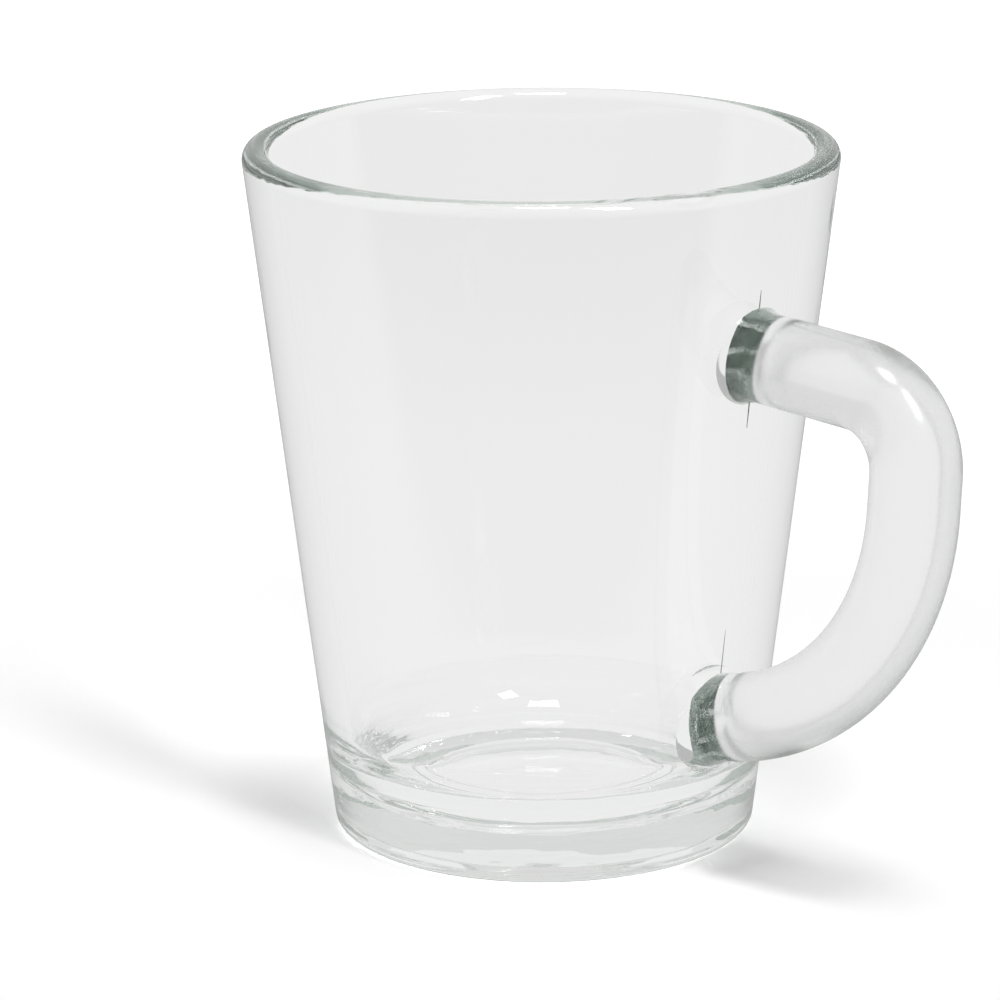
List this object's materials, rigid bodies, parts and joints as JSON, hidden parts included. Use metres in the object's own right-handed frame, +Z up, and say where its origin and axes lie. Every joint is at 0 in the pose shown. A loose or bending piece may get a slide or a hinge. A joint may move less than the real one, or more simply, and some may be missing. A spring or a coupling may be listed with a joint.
{
  "type": "espresso cup",
  "caption": "Clear glass espresso cup: a tapering pressed bowl with a heavy base and a rounded rim, and a bent glass rod handle fused to its side.",
  "frame": {"origin": "on the bowl's axis, in the plane of the foot ring that the cup stands on", "axes": "+Z up along the bowl's axis, +X from the axis towards the handle, +Y across the handle"},
  "size_m": [0.0826, 0.06, 0.0712],
  "materials": {
    "clear_glass": "fire-polished clear soda-lime glass with a faint green-grey tint in its thick parts"
  },
  "bodies": {
    "root": {"cup_body": "clear_glass", "handle": "clear_glass", "upper_handle_root": "clear_glass", "lower_handle_root": "clear_glass"}
  },
  "joints": []
}
